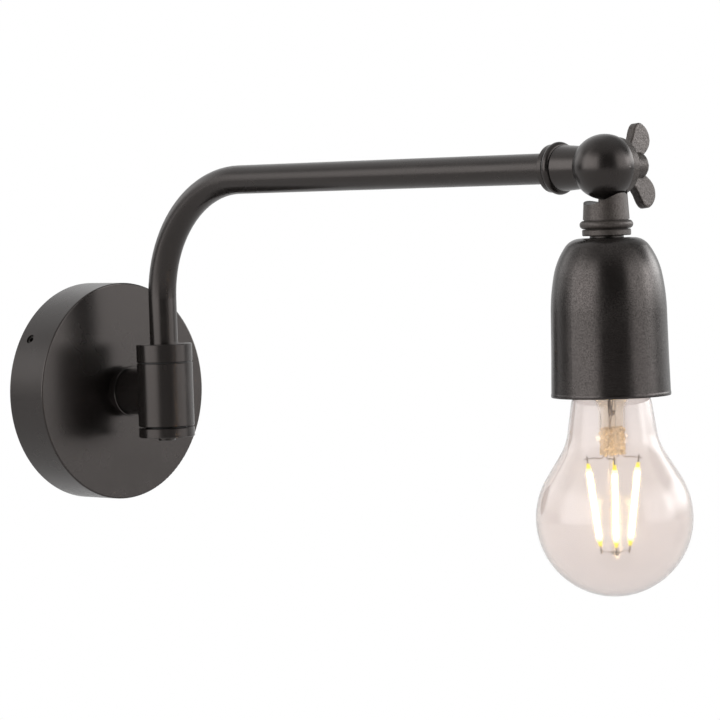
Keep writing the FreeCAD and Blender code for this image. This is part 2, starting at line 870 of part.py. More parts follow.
def lampholder_terminals():
    """Two brass terminal rivets through the lampholder's floor."""
    rivets = []
    for side in (-1, 1):
        centre = below_knuckle(side * terminal_offset, 0, 0)
        outline = [(1.55, socket_top), (1.55, recess_floor), (2.8, recess_floor), (2.8, recess_floor - 1.8)]
        rivets.append(turned((0, socket_top), outline + [(0, recess_floor - 1.8)], centre, V(0, 0, -1)))
    return Part.makeCompound(rivets)


def lampholder_shell():
    """Brass screw shell of the socket, with a flange under the floor."""
    outer = 13.7
    sheet = 0.5
    end = holder_mouth - 1.0
    outline = [
        (outer, socket_top),
        (outer, end),
        (outer - sheet, end),
        (outer - sheet, socket_top + sheet),
        (6.5, socket_top + sheet),
    ]
    shell = hanging((6.5, socket_top), outline)
    slot = box(below_knuckle(-12.9, -4.0, socket_top + sheet), below_knuckle(0, 4.0, socket_top))
    return shell.cut(slot)


def lampholder_contact():
    """Bent bronze tongue that presses on the bulb's contact."""
    low = [(-11.0, socket_top), (-3.0, socket_top), (1.5, 57.9), (3.5, 57.4), (3.5, 57.9), (1.3, 58.45)]
    low += [(-3.3, socket_top + 0.5), (-11.0, socket_top + 0.5)]
    points = [below_knuckle(x, -3.0, depth) for x, depth in low]
    points.append(points[0])
    return Part.Face(Part.makePolygon(points)).extrude(V(0, 6.0, 0))


def holder_leads():
    """The flex's two cores, spread from its end to the lampholder's terminals."""
    leads = []
    for side in (-1, 1):
        points = [
            below_knuckle(side * 0.72, 0, 43.05),
            below_knuckle(side * 0.72, 0, 44.2),
            below_knuckle(side * 2.6, 0, 46.0),
            below_knuckle(side * (terminal_offset - 2.8), 0, 46.0),
        ]
        leads.append(swept(route(points, bend_radii(points)), 0.7, "holder lead"))
    return Part.makeCompound(leads)


# ---------------------------------------------------------------- bulb
cap_radius = 12.9
cap_skirt = 84.5
cone_angle = math.radians(31.9)    # where the round of the glass runs into its cone
neck_taper = math.radians(7.0)
neck_radius = 16.65                # glass radius at the depth below
neck_depth = 97.9
throat_radius = 22.0               # hollow curve between cone and neck
flare_end = 99.7
pinch_end = 109.6
rod_end = 146.7


def glass_outline(inset):
    """Outline of the glass from its neck to its crown, as a start and moves; inset moves it inwards."""
    radius = bulb_diameter / 2 - inset
    tangent = (radius * math.cos(cone_angle), bulb_centre - radius * math.sin(cone_angle))
    cone_slope = math.tan(cone_angle)
    neck_slope = math.tan(neck_taper)
    neck_here = neck_radius - inset / math.cos(neck_taper)
    rise = tangent[0] - neck_here + neck_slope * neck_depth - cone_slope * tangent[1]
    corner_depth = rise / (neck_slope - cone_slope)
    corner_radius = neck_here + neck_slope * (corner_depth - neck_depth)
    half_turn = (cone_angle - neck_taper) / 2
    round_radius = throat_radius + inset
    reach = round_radius * math.tan(half_turn)
    above = (corner_radius - reach * math.sin(neck_taper), corner_depth - reach * math.cos(neck_taper))
    below = (corner_radius + reach * math.sin(cone_angle), corner_depth + reach * math.cos(cone_angle))
    lean = (cone_angle + neck_taper) / 2
    gap = round_radius / math.cos(half_turn) - round_radius
    middle = (corner_radius + gap * math.cos(lean), corner_depth - gap * math.sin(lean))
    top = (15.35 - inset, 89.4)
    start = (13.3 - inset, 85.0)
    swing = (cone_angle - math.pi / 2) / 2
    crown_middle = (radius * math.cos(swing), bulb_centre - radius * math.sin(swing))
    moves = [
        (start[0], start[1] + 0.4),
        ((14.75 - inset, 87.3), top),
        above,
        (middle, below),
        tangent,
        (crown_middle, (0, bulb_centre + radius)),
    ]
    return start, moves


def bulb_glass():
    """Clear glass envelope, hollow, open at the neck."""
    start, moves = glass_outline(0.0)
    outer = hanging((0, start[1]), [start] + moves)
    start, moves = glass_outline(glass_wall)
    inner = hanging((0, start[1] - 1), [(start[0], start[1] - 1), start] + moves)
    return outer.cut(inner)


def bulb_cap():
    """Screw cap of the bulb with a short skirt round the glass."""
    wall = 0.4
    outline = [
        (cap_radius - 3.5, 60.4),
        ((cap_radius - 0.9, 61.2), (cap_radius, 63.6)),
        (cap_radius, 81.5),
        (13.5, 83.0),
        (13.5, cap_skirt),
        (13.5 - wall, cap_skirt),
        (13.5 - wall, 83.2),
        (cap_radius - wall, 81.7),
        (cap_radius - wall, 63.8),
        (cap_radius - 3.5, 60.4 + wall + 0.4),
    ]
    return hanging((cap_radius - 3.5, 60.4), outline[1:])


def bulb_cap_insulator():
    """Black glass button between the cap and its contact."""
    outline = [(9.4, 60.4), (9.4, 61.2), (0, 61.2), (0, 59.4), (4.6, 59.4)]
    return hanging((8.2, 60.0), outline)


def bulb_contact():
    outline = [(4.4, 59.4), (0, 59.4), (0, bulb_cap_end), (2.6, bulb_cap_end)]
    return hanging((4.2, 59.0), outline)


def bulb_driver():
    """Small driver board with a capacitor inside the cap."""
    board = box(below_knuckle(-7.5, -0.6, 80.0), below_knuckle(7.5, 0.6, 63.5))
    capacitor = rod(2.8, below_knuckle(0, -3.2, 78.0), below_knuckle(0, -3.2, 68.0))
    choke = box(below_knuckle(-3.0, 0.6, 77.0), below_knuckle(3.0, 5.0, 70.0))
    return board.fuse([capacitor, choke]).removeSplitter()


def pinch():
    """Flattened seal at the end of the stem tube, waisted between its two broad faces."""
    outline = [(-4.9, 0), (4.9, 0), (5.65, 4.2), (5.5, 9.9), (-5.5, 9.9), (-5.65, 4.2), (-4.9, 0)]
    points = [below_knuckle(x, -1.6, flare_end + depth - 0.6) for x, depth in outline]
    block = Part.Face(Part.makePolygon(points)).extrude(V(0, 3.2, 0))
    uprights = [edge for edge in block.Edges if edge.BoundBox.YLength < 0.1 and edge.BoundBox.ZLength > 3]
    return block.makeFillet(1.2, uprights)


def bulb_stem():
    """Glass stem: flared tube from the neck, pinched flat, with the exhaust rod below."""
    flare_outline = [
        (12.2, 86.0),
        ((6.6, 88.3), (5.0, 92.0)),
        (5.0, flare_end - 1.0),
        ((4.6, flare_end + 0.1), (3.8, flare_end + 0.6)),
        (0, flare_end + 0.6),
        (0, flare_end - 1.2),
        (4.1, flare_end - 1.2),
        (4.1, 92.0),
        ((5.9, 87.7), (12.2, 85.2)),
    ]
    flare = hanging((12.2, 86.0), flare_outline[1:])
    exhaust = rod(1.5, below_knuckle(0, 0, pinch_end - 1.5), below_knuckle(0, 0, rod_end))
    bead = Part.makeSphere(1.75, below_knuckle(0, 0, rod_end - 0.6))
    return flare.fuse([pinch(), exhaust, bead]).removeSplitter()


filament_radius = 1.05
filament_top = 112.9
filament_bottom = 144.6
filament_top_ring = 9.6
filament_bottom_ring = 5.6
filament_turn = 43                 # angle of the first filament, seen from below
wire_radius = 0.28


def filament_ends(index):
    angle = math.radians(filament_turn + 360 * index / filament_count)
    across = math.cos(angle)
    outward = math.sin(angle)
    top = below_knuckle(filament_top_ring * across, filament_top_ring * outward, filament_top)
    bottom = below_knuckle(filament_bottom_ring * across, filament_bottom_ring * outward, filament_bottom)
    return top, bottom


def bulb_filaments():
    """Four LED filament rods, standing round the exhaust rod and leaning in below."""
    rods = []
    for index in range(filament_count):
        top, bottom = filament_ends(index)
        rods.append(rod(filament_radius, top, bottom))
    return Part.makeCompound(rods)


def bulb_wires():
    """Lead wires from the pinch to the filament tops, and the bridge wires at their lower ends."""
    wires = []
    for index in range(filament_count):
        top, bottom = filament_ends(index)
        side = 1 if top.x > KNUCKLE.x else -1
        along = (bottom - top).normalize()
        tip = top - along * 2.4
        knee = V(side * 4.4, top.y + (KNUCKLE.y - top.y) * 0.75, top.z + 2.2)
        root = V(side * 4.4, KNUCKLE.y, below_knuckle(0, 0, pinch_end - 1.2).z)
        bend = tip + V(0, 0, 0.4)
        points = [root, knee, bend]
        wires.append(swept(route(points, bend_radii(points)), wire_radius, "filament lead"))
        wires.append(rod(wire_radius + 0.15, tip + V(0, 0, 0.6), top))
        heel = bottom + along * 1.8
        wires.append(rod(wire_radius + 0.15, bottom, heel))
        hub = below_knuckle(0, 0, rod_end + 0.6)
        wires.append(rod(wire_radius, heel, hub))
    whole = wires[0].fuse(wires[1:]).removeSplitter()
    return whole.cut(bulb_stem())


PIECES = [
    rose_cover, wall_plate, rose_grub_screws, terminal_block, terminal_screws, terminal_fixing_screw,
    earth_screw, earth_lead, stem_ring, stem, stem_nipple, stem_washer, stem_nut, barrel, upper_bush,
    lower_bush, base_flex, upper_thrust_washer, lower_thrust_washer, arm_collar, pivot_shaft, bottom_cap,
    bottom_screw, arm_tube, arm_end_ring, knuckle_ball, clamp_stud, arm_flex, knuckle_eye, head_lock_nut,
    neck_spacer, head_nipple, holder_cover, holder_nuts, lampholder_body, lampholder_terminals,
    lampholder_shell, lampholder_contact, holder_leads, head_flex, bulb_glass, bulb_cap,
    bulb_cap_insulator, bulb_contact, bulb_driver, bulb_stem, bulb_filaments, bulb_wires,
    spring_washer, wing_nut,
]


def main():
    os.makedirs("parts", exist_ok=True)
    for piece in PIECES:
        shape = piece()
        solids = len(shape.Solids)
        print(f"{piece.__name__}: {solids} solid(s), {shape.Volume:.0f} cubic mm, valid {shape.isValid()}")
        shape.exportStep(f"parts/{piece.__name__}.step")


main()
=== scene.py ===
import json
import math
import random

import bmesh
import bpy
from bpy.props import FloatProperty, FloatVectorProperty, IntProperty, PointerProperty
from mathutils import Matrix, Vector


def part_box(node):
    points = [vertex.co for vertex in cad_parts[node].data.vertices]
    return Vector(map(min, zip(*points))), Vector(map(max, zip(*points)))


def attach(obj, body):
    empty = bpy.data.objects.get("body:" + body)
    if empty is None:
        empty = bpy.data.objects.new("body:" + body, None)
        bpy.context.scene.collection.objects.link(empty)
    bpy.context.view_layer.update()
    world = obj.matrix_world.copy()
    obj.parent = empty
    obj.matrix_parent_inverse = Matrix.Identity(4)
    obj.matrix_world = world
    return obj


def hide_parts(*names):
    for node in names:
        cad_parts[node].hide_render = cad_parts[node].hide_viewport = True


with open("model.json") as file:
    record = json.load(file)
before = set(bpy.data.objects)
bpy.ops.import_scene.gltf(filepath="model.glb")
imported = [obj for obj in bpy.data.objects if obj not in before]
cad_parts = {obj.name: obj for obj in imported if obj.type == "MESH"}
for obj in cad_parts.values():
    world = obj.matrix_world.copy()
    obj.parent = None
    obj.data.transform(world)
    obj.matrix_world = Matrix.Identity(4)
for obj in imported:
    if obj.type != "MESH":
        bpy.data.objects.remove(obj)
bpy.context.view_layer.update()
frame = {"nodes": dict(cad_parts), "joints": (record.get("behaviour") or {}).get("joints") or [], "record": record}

# Looks of an articulating wall lamp: dark bronze powder coat on turned, bent and cast metal,
# and a lit clear bulb with four filaments.  Metres, in the lamp's own frame: origin at the
# centre of the rose's back, the lamp stands out along -Y, and +Z is up.

bl_info = {
    "name": "Articulating wall lamp",
    "version": (1, 0, 0),
    "blender": (4, 5, 0),
    "location": "View3D > Sidebar > Wall Lamp",
    "description": "Dresses the packed model of an articulating wall lamp",
    "category": "Object",
}

MM = 0.001
IMAGE_SIDE = 720                       # the picture is square, in pixels
SENSOR = 36.0                          # camera sensor width, mm


# Centre of the ball, about which the head tilts.
KNUCKLE = next(Vector(joint["pos_m"]) for joint in frame["joints"] if joint["name"] == "head_tilt")


# ---------------------------------------------------------------- settings
class LampSizes(bpy.types.PropertyGroup):
    glass_wall: FloatProperty(
        name="Glass wall", description="Thickness of the bulb's glass", default=0.6 * MM,
        unit="LENGTH", subtype="DISTANCE")
    filament_count: IntProperty(
        name="Filaments", description="Number of filament rods in the bulb", default=4)
    filament_turn: FloatProperty(
        name="Filament turn", description="Angle of the first filament about the bulb's axis",
        default=math.radians(43), subtype="ANGLE")
    filament_radius: FloatProperty(
        name="Filament radius", description="Radius of a filament's phosphor coat",
        default=1.0 * MM, unit="LENGTH", subtype="DISTANCE")
    wire_radius: FloatProperty(
        name="Wire radius", description="Radius of the bulb's lead wires", default=0.17 * MM,
        unit="LENGTH", subtype="DISTANCE")
    cast_grain: FloatProperty(
        name="Cast grain", description="Height of the sand-cast grain on the wing nut",
        default=0.13 * MM, unit="LENGTH", subtype="DISTANCE")


def linear(code):
    """sRGB hex to linear red, green and blue."""
    values = [int(code[i:i + 2], 16) / 255 for i in (1, 3, 5)]
    return [v / 12.92 if v <= 0.04045 else ((v + 0.055) / 1.055) ** 2.4 for v in values]


def colour_setting(name, description, code):
    return FloatVectorProperty(
        name=name, description=description, default=linear(code), size=3, subtype="COLOR",
        min=0, max=1)


class LampColours(bpy.types.PropertyGroup):
    coat: colour_setting("Coat", "Powder coat on the turned and bent pieces", "#131110")
    cast_coat: colour_setting("Cast coat", "Powder coat on the cast pieces", "#2b2724")
    shine: colour_setting("Shine", "Tint of the coat's shine, from its bronze pigment", "#fff3ee")
    glass_tint: colour_setting("Glass tint", "Tint of the bulb's glass at one surface", "#eee8e6")
    light: colour_setting("Light", "Colour of the lit filaments", "#ffdfa6")
    phosphor: colour_setting("Phosphor", "Silicone phosphor at the filaments' ends", "#f2e23c")


class StudioSettings(bpy.types.PropertyGroup):
    azimuth: FloatProperty(
        name="Azimuth", description="Camera's angle round the lamp, 0 looks along +Y",
        default=math.radians(-46.085), subtype="ANGLE")
    elevation: FloatProperty(
        name="Elevation", description="Camera's angle above the horizon",
        default=math.radians(2.8), subtype="ANGLE")
    roll: FloatProperty(
        name="Roll", description="Camera's turn about its own line of sight",
        default=math.radians(-1.807), subtype="ANGLE")
    distance: FloatProperty(
        name="Distance", description="Camera to the aiming point", default=1.4347,
        unit="LENGTH", subtype="DISTANCE")
    aim_right: FloatProperty(
        name="Aim right", description="Aiming point, to the right of the arm's middle",
        default=9.72 * MM, unit="LENGTH", subtype="DISTANCE")
    aim_up: FloatProperty(
        name="Aim up", description="Aiming point, above the stem's height",
        default=14.83 * MM, unit="LENGTH", subtype="DISTANCE")
    focal_pixels: FloatProperty(
        name="Focal length", description="Focal length in pixels of the square picture",
        default=3500)


# ---------------------------------------------------------------- materials
# The colour sockets of a Mix node by number, because their names are used more than once.
MIX_FACTOR, MIX_A, MIX_B, MIX_COLOUR = 0, 6, 7, 2


def connect(tree, node, inputs):
    """Sets each named input of a node, or links another node's output to it."""
    for name, value in inputs.items():
        socket = node.inputs[name]
        if isinstance(value, bpy.types.NodeSocket):
            tree.links.new(value, socket)
        elif socket.type == "RGBA":
            socket.default_value = (*value, 1)
        else:
            socket.default_value = value


def add(tree, kind, inputs=None, **settings):
    """Adds a node with its settings and links."""
    node = tree.nodes.new(kind)
    for key, value in settings.items():
        setattr(node, key, value)
    connect(tree, node, inputs or {})
    return node


def new_material(name):
    """A new material with its tree, its Principled shader wired to the output, and Object
    coordinates."""
    material = bpy.data.materials.new(name)
    material.use_nodes = True
    tree = material.node_tree
    tree.nodes.clear()
    shader = add(tree, "ShaderNodeBsdfPrincipled")
    add(tree, "ShaderNodeOutputMaterial", {"Surface": shader.outputs[0]})
    place = add(tree, "ShaderNodeTexCoord").outputs["Object"]
    return material, tree, shader, place


def scaled(colour, share):
    """The colour made darker or lighter by this share."""
    return [channel * share for channel in colour]


COAT_CLOUD = 14 * MM                   # size of the coat's slow cloudiness
CLOUD_ROUGHNESS = (-0.03, 0.04)        # how far it moves the roughness down and up
PIT_SPACING = 2.4                      # between the coat's pits, in flecks
PIT_LOSS = 1.6                         # shine lost in a pit, in mottles
DARK_PIGMENT, FULL_PIGMENT = 0.45, 1.15


def powder_coat(name, colours, colour, roughness, fleck, depth, mottle, shine=0.5):
    """Satin powder coat: the powder melts into a fine orange peel with tiny pits, a soft broad
    shine over near-black bronze.  Flecks of pigment shine more and less by the mottle's share,
    and a slow cloudiness lies over them."""
    material, tree, shader, place = new_material(name)
    peel = add(tree, "ShaderNodeTexNoise", {
        "Vector": place, "Scale": 1 / fleck, "Detail": 2.5, "Roughness": 0.6}).outputs["Fac"]
    pits = add(tree, "ShaderNodeTexVoronoi", {
        "Vector": place, "Scale": 1 / (PIT_SPACING * fleck)}).outputs["Distance"]
    clouds = add(tree, "ShaderNodeTexNoise", {
        "Vector": place, "Scale": 1 / COAT_CLOUD, "Detail": 2.0}).outputs["Fac"]
    pitted = add(tree, "ShaderNodeMapRange", {
        "Value": pits, "From Min": 0.02, "From Max": 0.22,
        "To Min": 1 - PIT_LOSS * mottle, "To Max": 1.0}).outputs[0]
    bright = add(tree, "ShaderNodeMapRange", {
        "Value": peel, "From Min": 0.34, "From Max": 0.66,
        "To Min": 1 - mottle, "To Max": 1 + mottle}).outputs[0]
    share = add(tree, "ShaderNodeMath", {0: pitted, 1: bright}, operation="MULTIPLY").outputs[0]
    pigment = add(tree, "ShaderNodeMix", {
        MIX_FACTOR: share, MIX_A: scaled(colour, DARK_PIGMENT),
        MIX_B: scaled(colour, FULL_PIGMENT)}, data_type="RGBA").outputs[MIX_COLOUR]
    level = add(tree, "ShaderNodeMath", {0: share, 1: shine}, operation="MULTIPLY").outputs[0]
    rough = add(tree, "ShaderNodeMapRange", {
        "Value": clouds, "From Min": 0.3, "From Max": 0.7,
        "To Min": roughness + CLOUD_ROUGHNESS[0],
        "To Max": roughness + CLOUD_ROUGHNESS[1]}).outputs[0]
    normal = add(tree, "ShaderNodeBump", {
        "Height": peel, "Distance": depth, "Strength": 1.0}).outputs[0]
    connect(tree, shader, {
        "Base Color": pigment, "Roughness": rough, "Normal": normal, "Specular IOR Level": level,
        "Specular Tint": colours.shine})
    return material


def plated_steel(name, code, roughness):
    """Zinc or nickel plating on cut steel: bright, slightly cloudy, with faint drawn lines."""
    material, tree, shader, place = new_material(name)
    colour = linear(code)
    clouds = add(tree, "ShaderNodeTexNoise", {
        "Vector": place, "Scale": 1 / (4 * MM)}).outputs["Fac"]
    drawn = add(tree, "ShaderNodeMapping", {"Vector": place, "Scale": (1, 1, 0.1)}).outputs[0]
    lines = add(tree, "ShaderNodeTexNoise", {
        "Vector": drawn, "Scale": 1 / (0.5 * MM)}).outputs["Fac"]
    plating = add(tree, "ShaderNodeMix", {
        MIX_FACTOR: clouds, MIX_A: scaled(colour, 0.8), MIX_B: colour},
        data_type="RGBA").outputs[MIX_COLOUR]
    rough = add(tree, "ShaderNodeMapRange", {
        "Value": clouds, "To Min": roughness - 0.08, "To Max": roughness + 0.12}).outputs[0]
    normal = add(tree, "ShaderNodeBump", {"Height": lines, "Distance": 0.01 * MM}).outputs[0]
    connect(tree, shader, {
        "Base Color": plating, "Metallic": 1.0, "Roughness": rough, "Normal": normal})
    return material


def moulded_plastic(name, code, roughness, depth=0.01 * MM):
    """Injection-moulded plastic or glazed ceramic: even colour under a fine moulded grain."""
    material, tree, shader, place = new_material(name)
    colour = linear(code)
    fine = add(tree, "ShaderNodeTexNoise", {
        "Vector": place, "Scale": 1 / (0.35 * MM)}).outputs["Fac"]
    clouds = add(tree, "ShaderNodeTexNoise", {
        "Vector": place, "Scale": 1 / (6 * MM)}).outputs["Fac"]
    body = add(tree, "ShaderNodeMix", {
        MIX_FACTOR: clouds, MIX_A: scaled(colour, 0.88), MIX_B: colour},
        data_type="RGBA").outputs[MIX_COLOUR]
    rough = add(tree, "ShaderNodeMapRange", {
        "Value": clouds, "To Min": roughness - 0.05, "To Max": roughness + 0.06}).outputs[0]
    normal = add(tree, "ShaderNodeBump", {"Height": fine, "Distance": depth}).outputs[0]
    connect(tree, shader, {"Base Color": body, "Roughness": rough, "Normal": normal})
    return material


def banded_lead(name, first, second):
    """Lead insulation extruded in two colours, as stripes along the core."""
    material, tree, shader, place = new_material(name)
    bands = add(tree, "ShaderNodeTexWave", {
        "Vector": place, "Scale": 1 / (9 * MM), "Distortion": 0.3}).outputs["Fac"]
    stripe = add(tree, "ShaderNodeMapRange", {
        "Value": bands, "From Min": 0.48, "From Max": 0.52}).outputs[0]
    colour = add(tree, "ShaderNodeMix", {
        MIX_FACTOR: stripe, MIX_A: linear(first), MIX_B: linear(second)},
        data_type="RGBA").outputs[MIX_COLOUR]
    connect(tree, shader, {"Base Color": colour, "Roughness": 0.42})
    return material


def blown_glass(name, tint, haze, roughness, ripple_size, ripple_depth, shine=0.5):
    """Blown soda-lime glass: clear and slightly smoky, with a slow ripple and a breath of haze
    that catches the filaments' light.  Light passes through it, so it casts only a faint shadow."""
    material, tree, shader, place = new_material(name)
    ripple = add(tree, "ShaderNodeTexNoise", {
        "Vector": place, "Scale": 1 / ripple_size, "Detail": 1.0}).outputs["Fac"]
    normal = add(tree, "ShaderNodeBump", {"Height": ripple, "Distance": ripple_depth}).outputs[0]
    connect(tree, shader, {
        "Base Color": tint, "Transmission Weight": 1.0 - haze, "Roughness": roughness,
        "IOR": 1.5, "Specular IOR Level": shine, "Normal": normal})
    clear = add(tree, "ShaderNodeBsdfTransparent", {"Color": tint}).outputs[0]
    shadow = add(tree, "ShaderNodeLightPath").outputs["Is Shadow Ray"]
    mix = add(tree, "ShaderNodeMixShader", {
        0: shadow, 1: shader.outputs[0], 2: clear}).outputs[0]
    connect(tree, tree.nodes["Material Output"], {"Surface": mix})
    return material


def lit_phosphor(name, colour, light, strength):
    """Yellow silicone phosphor over the chips: it glows warm white where current flows."""
    material, tree, shader, place = new_material(name)
    lumps = add(tree, "ShaderNodeTexNoise", {
        "Vector": place, "Scale": 1 / (0.5 * MM)}).outputs["Fac"]
    body = add(tree, "ShaderNodeMix", {
        MIX_FACTOR: lumps, MIX_A: scaled(colour, 0.85), MIX_B: colour},
        data_type="RGBA").outputs[MIX_COLOUR]
    connect(tree, shader, {
        "Base Color": body, "Roughness": 0.5, "Emission Color": light,
        "Emission Strength": strength})
    return material


MATERIALS = {}


def make_materials(colours):
    """Every material once, by the record's slot or by a name of its own."""
    MATERIALS.update({
        "bronze_coat": powder_coat(
            "satin_bronze_coat", colours, colours.coat, roughness=0.25, fleck=0.45 * MM,
            depth=0.004 * MM, mottle=0.09),
        "bronze_cast": powder_coat(
            "cast_bronze_coat", colours, colours.cast_coat, roughness=0.42, fleck=0.6 * MM,
            depth=0.08 * MM, mottle=0.35, shine=0.6),
        "bronze_spun": powder_coat(
            "spun_bronze_coat", colours, colours.coat, roughness=0.26, fleck=0.5 * MM,
            depth=0.028 * MM, mottle=0.4, shine=0.55),
        "dark_steel": powder_coat(
            "blackened_steel", colours, linear("#121110"), roughness=0.32, fleck=0.4 * MM,
            depth=0.01 * MM, mottle=0.1),
        "zinc_steel": plated_steel("zinc_plated_steel", "#c4c6c8", roughness=0.32),
        "brass": plated_steel("cut_brass", "#c9a35a", roughness=0.28),
        "thrust_plastic": moulded_plastic("black_nylon", "#141414", roughness=0.5),
        "terminal_plastic": moulded_plastic("white_polyamide", "#e2ded4", roughness=0.45),
        "porcelain": moulded_plastic(
            "glazed_porcelain", "#e6e2d8", roughness=0.2, depth=0.02 * MM),
        "flex_sheath": moulded_plastic(
            "black_flex_sheath", "#181818", roughness=0.55, depth=0.03 * MM),
        "earth_insulation": banded_lead("green_yellow_lead", "#2f7d32", "#d8c62c"),
        "core_insulation": moulded_plastic("brown_core", "#5a3420", roughness=0.45),
        "clear_glass": blown_glass(
            "blown_clear_glass", colours.glass_tint, haze=0.03, roughness=0.1,
            ripple_size=22 * MM, ripple_depth=0.08 * MM, shine=0.12),
        "stem_glass": blown_glass(
            "pressed_stem_glass", linear("#fdf9f1"), haze=0.01, roughness=0.0,
            ripple_size=22 * MM, ripple_depth=0.02 * MM),
        "pinch_glass": blown_glass(
            "pinched_stem_glass", linear("#fff3d6"), haze=0.25, roughness=0.08,
            ripple_size=1.0 * MM, ripple_depth=0.5 * MM),
        "cap_metal": plated_steel("nickel_plated_cap", "#cfccc4", roughness=0.25),
        "cap_insulator": moulded_plastic("black_cap_glass", "#101014", roughness=0.12),
        "driver_board": moulded_plastic("green_circuit_board", "#2b6a3a", roughness=0.4),
        "filament_glow": lit_phosphor(
            "lit_phosphor", linear("#f7e9a0"), colours.light, strength=12.0),
        "filament_warm": lit_phosphor(
            "warm_phosphor", linear("#f7e9a0"), linear("#fff2a0"), strength=2.4),
        "filament_end": lit_phosphor(
            "dim_phosphor", colours.phosphor, linear("#f6e23c"), strength=0.75),
        "nickel_wire": plated_steel("drawn_nickel_wire", "#85786a", roughness=0.35),
    })


# ---------------------------------------------------------------- mesh helpers
def points_on_arc(centre, radius, start, end, steps):
    """Points from angle start to end, both in degrees, in the (radius, depth) plane."""
    angles = [math.radians(start + (end - start) * k / steps) for k in range(steps + 1)]
    return [(centre[0] + radius * math.cos(a), centre[1] + radius * math.sin(a)) for a in angles]


def spun(outline, steps=128, closed=True):
    """A bmesh turned once round the upright axis from (radius, height) points."""
    bm = bmesh.new()
    verts = [bm.verts.new((max(radius, 0), 0, height)) for radius, height in outline]
    pairs = list(zip(verts, verts[1:]))
    if closed:
        pairs.append((verts[-1], verts[0]))
    edges = [bm.edges.new(pair) for pair in pairs]
    bmesh.ops.spin(bm, geom=verts + edges, cent=(0, 0, 0), axis=(0, 0, 1), angle=math.tau,
                   steps=steps, use_merge=True)
    bmesh.ops.remove_doubles(bm, verts=bm.verts, dist=1e-7)
    bmesh.ops.recalc_face_normals(bm, faces=bm.faces)
    return bm


def hung(outline):
    """Millimetres below the ball's centre, as (radius, height) in metres."""
    return [(radius * MM, -depth * MM) for radius, depth in outline]


def joined(bm, other):
    """Adds a copy of another bmesh to bm, and frees the other."""
    spare = bpy.data.meshes.new("spare")
    other.to_mesh(spare)
    other.free()
    bm.from_mesh(spare)
    bpy.data.meshes.remove(spare)
    return bm


def piece(name, bm, material, body, replaced, sharp=35):
    mesh = bpy.data.meshes.new(name)
    bm.to_mesh(mesh)
    bm.free()
    mesh.shade_smooth()
    mesh.set_sharp_from_angle(angle=math.radians(sharp))
    mesh.materials.append(MATERIALS[material])
    made = bpy.data.objects.new(name, mesh)
    bpy.context.scene.collection.objects.link(made)
    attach(made, body)
    if replaced:
        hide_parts(*replaced)
    return made


def apply_modifiers(made):
    """Turns the piece's modifiers into mesh."""
    graph = bpy.context.evaluated_depsgraph_get()
    mesh = bpy.data.meshes.new_from_object(made.evaluated_get(graph))
    made.modifiers.clear()
    old = made.data
    made.data = mesh
    bpy.data.meshes.remove(old)
    mesh.name = made.name


def moved(bm, matrix):
    """Moves the bmesh by the matrix, and gives it back."""
    bmesh.ops.transform(bm, matrix=matrix, verts=bm.verts)
    return bm


def wire(bm, points, radius, sides=10):
    """Adds a round wire along smooth points to bm, with closed ends."""
    curve = bpy.data.curves.new("wire", "CURVE")
    curve.dimensions = "3D"
    curve.bevel_depth = radius
    curve.bevel_resolution = sides // 2 - 1
    curve.use_fill_caps = True
    curve.resolution_u = 10
    spline = curve.splines.new("NURBS")
    spline.points.add(len(points) - 1)
    for point, place in zip(spline.points, points):
        point.co = (*place, 1)
    spline.order_u = 3
    spline.use_endpoint_u = True
    holder = bpy.data.objects.new("wire", curve)
    bpy.context.scene.collection.objects.link(holder)
    graph = bpy.context.evaluated_depsgraph_get()
    mesh = bpy.data.meshes.new_from_object(holder.evaluated_get(graph))
    bm.from_mesh(mesh)
    bpy.data.objects.remove(holder)
    bpy.data.curves.remove(curve)
    bpy.data.meshes.remove(mesh)
    bmesh.ops.remove_doubles(bm, verts=bm.verts, dist=1e-8)
    return bm


def below(x, y, depth):
    """A place in millimetres from the ball's centre, depth downwards."""
    return KNUCKLE + Vector((x, y, -depth)) * MM


# ---------------------------------------------------------------- operators
def coat_nodes(slots):
    """Gives the CAD pieces of these record slots their material."""
    for part in frame["record"]["subparts"]:
        if part["material_slot"] in slots:
            node = frame["nodes"][part["node"]]
            node.data.materials.clear()
            node.data.materials.append(MATERIALS[part["material_slot"]])


class LAMP_OT_coated_metal(bpy.types.Operator):
    """Finishes the rose, stem, barrel, arm, knuckle and cover in powder coat"""
    bl_idname = "lamp.coated_metal"
    bl_label = "Coated metal"

    def execute(self, context):
        make_materials(context.scene.lamp_colours)
        coat_nodes(("bronze_coat", "bronze_cast", "bronze_spun", "dark_steel"))
        return {"FINISHED"}


class LAMP_OT_inner_fittings(bpy.types.Operator):
    """Finishes the wall plate, wiring, bearings and lampholder"""
    bl_idname = "lamp.inner_fittings"
    bl_label = "Inner fittings"

    def execute(self, context):
        coat_nodes((
            "zinc_steel", "brass", "thrust_plastic", "terminal_plastic", "porcelain", "flex_sheath",
            "earth_insulation", "core_insulation", "cap_metal", "cap_insulator", "driver_board"))
        return {"FINISHED"}


CONE_ANGLE = 31.9                      # where the round of the glass runs into its cone, degrees
NECK_TAPER = 7.0                       # of the neck's side, degrees
THROAT_RADIUS = 22.0                   # hollow curve between cone and neck, mm
NECK_DEPTH = 12.9                      # a place on the neck, below the glass's top, mm
NECK_RADIUS = 16.65                    # the neck's radius there, mm
SHOULDER = ((13.3, 0), (13.5, 0.9), (14.2, 1.9), (14.85, 2.9), (15.25, 4.1))   # radius and depth


